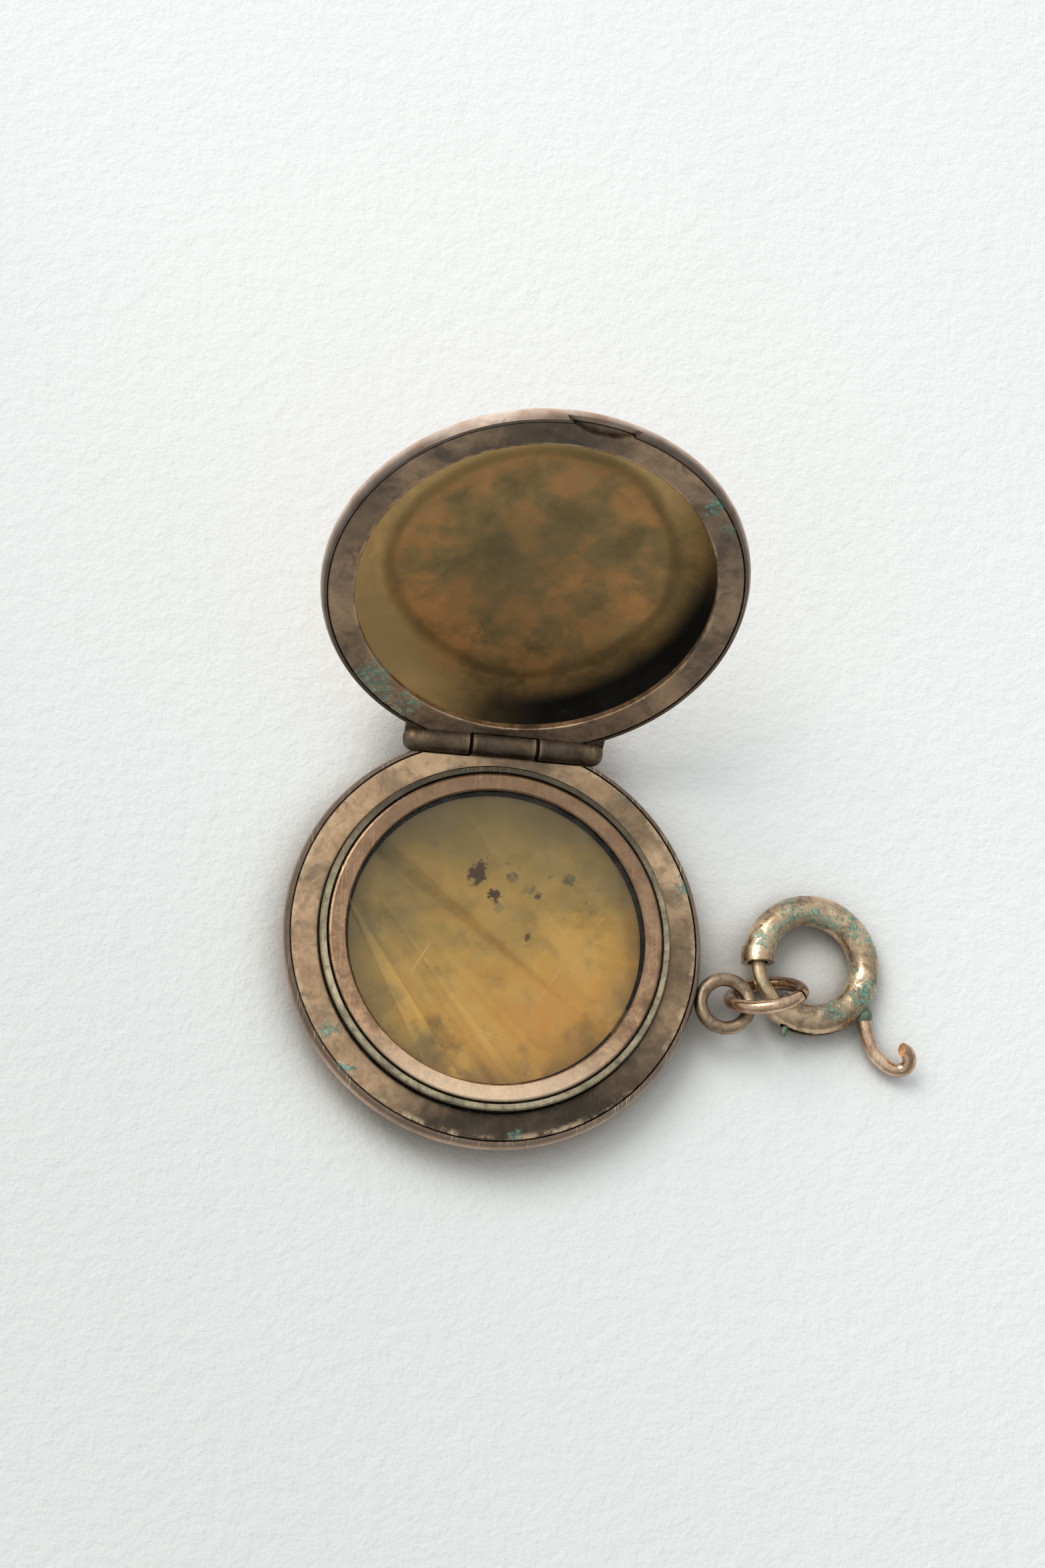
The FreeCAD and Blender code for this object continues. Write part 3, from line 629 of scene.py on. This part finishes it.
def backing_material():
    """Stained golden surface under the window."""
    g = Graph("picture backing")
    broad = g.noise(0.12, 4, 0.55, shift=(4, 2, 0))
    cloud = g.noise(0.4, 6, 0.6, shift=(1, 8, 0))
    fine = g.noise(2.5, 6, 0.7)

    # Golden colour with soft clouds, and painted light that brightens it away from the hinge.
    painted_light_drift = g.along((0.012, -0.026, 0))
    tone = g.sum(painted_light_drift, g.sum(g.times(broad, 0.5), g.times(cloud, 0.45)))
    tone = g.sum(tone, g.times(fine, 0.08))
    colour = g.ramp(tone, (0.20, (0.26, 0.19, 0.08)), (0.40, (0.62, 0.42, 0.13)),
                    (0.58, (0.92, 0.60, 0.17)), (0.78, (0.96, 0.54, 0.13)))
    olive = g.span(g.noise(0.40, 5, 0.6, shift=(2, 6, 1)), 0.46, 0.72, 0.0, 0.5)
    colour = g.mix(olive, colour, (0.30, 0.23, 0.09))
    colour = g.mix(g.span(g.from_axis(), 7.0, 10.2, 0.0, 0.55), colour, (0.20, 0.13, 0.055))

    # Stains, bright places, painted shade toward the hinge, rust and the dark and green blots.
    colour = g.mix(g.nearest_of(BACKING_STAINS, 1.0, 0.5), colour, (0.20, 0.155, 0.07))
    colour = g.mix(g.nearest_of(BACKING_BRIGHT, 1.0, 0.5), colour, (1.0, 0.60, 0.15))
    # Painted shade, darker toward the hinge.
    colour = g.mix(g.span(g.along((0, 1, 0)), 1.0, 10.5, 0.0, 0.6), colour, (0.24, 0.185, 0.09))
    rust = g.span(g.noise(0.9, 5, 0.65, shift=(8, 3, 0)), 0.60, 0.74, 0.0, 0.5)
    colour = g.mix(rust, colour, (0.60, 0.24, 0.06))
    colour = g.mix(g.nearest_of(BLOTS, 0.4, 0.35), colour, (0.075, 0.038, 0.022))
    colour = g.mix(g.nearest_of(GREEN_BLOTS, 0.5, 0.35), colour, (0.12, 0.14, 0.09))

    normal = g.bump(cloud, 0.2, 0.15, g.flat_normal())
    roughness = g.span(cloud, 0.3, 0.7, 0.42, 0.6)
    return g.finish(g.fed("ShaderNodeBsdfPrincipled", Base_Color=colour, Metallic=0.2,
                          Roughness=roughness, Normal=normal))


def window_material():
    """Clear old sheet, a little yellow, with dust and hair scratches on top."""
    g = Graph("window")
    level = g.flat_normal()

    # Tinted sheet with a soft sheen.
    clear = g.fed("ShaderNodeBsdfTransparent", Color=WINDOW_TINT)
    gloss = g.fed("ShaderNodeBsdfGlossy", Roughness=0.22, Normal=level)
    fresnel = g.fed("ShaderNodeFresnel", IOR=WINDOW_IOR, Normal=level)
    sheen = g.blend(g.times(fresnel, 0.8), clear, gloss)

    # Dust, haze and scratches, all in one pale powder.
    dust = g.times(g.span(g.cells(1.3, (3, 1, 0)), 0.035, 0.02), g.span(g.noise(0.5, 2), 0.45, 0.6))
    haze = g.span(g.noise(0.5, 5, 0.6, shift=(9, 9, 0)), 0.4, 0.8, 0.0, 0.08)
    cover = g.most(dust, haze)
    for start, end, strength in WINDOW_SCRATCHES:
        line = g.stroke((*start, WINDOW_Z), (*end, WINDOW_Z), SCRATCH_WIDTH)
        cover = g.most(cover, g.times(line, strength))
    powder = g.fed("ShaderNodeBsdfDiffuse", Color=DUST_COLOUR, Normal=level)
    dusty = g.blend(cover, sheen, powder)

    # The underside lies against the backing, so it is left fully clear.
    untouched = g.fed("ShaderNodeBsdfTransparent")
    on_top = g.span(g.along((0, 0, 1)), WINDOW_Z + 0.1, WINDOW_Z + 0.2)
    return g.finish(g.blend(on_top, untouched, dusty))


paint(backing_material(), "picture_backing")
paint(window_material(), "window_disc")

# The level discs and rings are smooth shaded, and these offsets would draw streaks across them.
for name in ("picture_backing", "window_disc", "base_flange", "lid_flange", "bezel_ring"):
    nodes[name].cycles.shadow_terminator_geometry_offset = 0.0
    nodes[name].cycles.shadow_terminator_offset = 0.0


# ---------------------------------------------------------------- stage and light
def paper_floor():
    """Textured white paper, duller to one side with painted light falloff, and darker with painted shadow
    where the locket shelters it.
    """
    g = Graph("paper")
    tooth = g.noise(0.9, 6, 0.62)
    grain = g.noise(3.0, 4, 0.6)
    mottled = g.noise(0.05, 3, 0.5)
    colour = g.mix(mottled, (0.80, 0.81, 0.795), (0.84, 0.85, 0.835))
    # Painted light falloff, duller to one side.
    duller = g.span(g.along(0.8 * level_right + 0.6 * level_up), -45.0, 35.0, 0.50, 0.0)
    colour = g.mix(duller, colour, (0.60, 0.62, 0.595))
    # Painted contact shadow where the locket shelters the paper.
    painted_contact_shadow = g.span(g.crevice(5.0), 0.12, 0.68, 0.0, 0.85)
    colour = g.mix(painted_contact_shadow, colour, (0.26, 0.235, 0.19))
    relief = g.bump(g.sum(tooth, g.times(grain, 0.3)), 0.6, 0.3)
    g.finish(g.fed("ShaderNodeBsdfPrincipled", Base_Color=colour, Roughness=0.9, Normal=relief))
    bpy.ops.mesh.primitive_plane_add(size=FLOOR_SIZE, location=(0, 0, 0))
    floor = bpy.context.object
    floor.name = "paper floor"
    floor.data.materials.append(g.material)


def soft_light(name, towards, distance, size, power, colour):
    """Square lamp that stands off the middle of the base and faces it."""
    lamp = bpy.data.objects.new(name, bpy.data.lights.new(name, "AREA"))
    lamp.data.shape = "SQUARE"
    lamp.data.size = size
    lamp.data.energy = power
    lamp.data.color = colour
    lamp.location = towards * distance
    lamp.rotation_mode = "QUATERNION"
    lamp.rotation_quaternion = towards.to_track_quat("Z", "Y")
    scene.collection.objects.link(lamp)


def room(window_heading):
    """Pale room, brighter round the window than away from it."""
    world = bpy.data.worlds.new("room")
    scene.world = world
    world.use_nodes = True
    tree = world.node_tree
    background = tree.nodes["Background"]
    coords = tree.nodes.new("ShaderNodeTexCoord")
    dot = tree.nodes.new("ShaderNodeVectorMath")
    dot.operation = "DOT_PRODUCT"
    dot.inputs[1].default_value = window_heading
    spread = tree.nodes.new("ShaderNodeMapRange")
    spread.interpolation_type = "SMOOTHSTEP"
    spread.inputs["From Min"].default_value = -0.5
    spread.inputs["From Max"].default_value = 1.0
    spread.inputs["To Min"].default_value = ROOM_DIM
    spread.inputs["To Max"].default_value = ROOM_BRIGHT
    tree.links.new(coords.outputs["Generated"], dot.inputs[0])
    tree.links.new(dot.outputs["Value"], spread.inputs["Value"])
    tree.links.new(spread.outputs["Result"], background.inputs["Strength"])
    background.inputs["Color"].default_value = ROOM_COLOUR


level_right = Vector((view_right.x, view_right.y, 0)).normalized()
level_up = Vector((view_up.x, view_up.y, 0)).normalized()
window_side = (-0.62 * level_right + 0.78 * level_up).normalized()
key_height = math.radians(KEY_HEIGHT)
key = window_side * math.cos(key_height) + Vector((0, 0, math.sin(key_height)))
paper_floor()
soft_light("window light", key, KEY_DISTANCE, KEY_SIZE, KEY_POWER, KEY_COLOUR)
room(key)
scene.view_settings.view_transform = "Standard"
scene.view_settings.look = "None"
scene.view_settings.exposure = 0.0
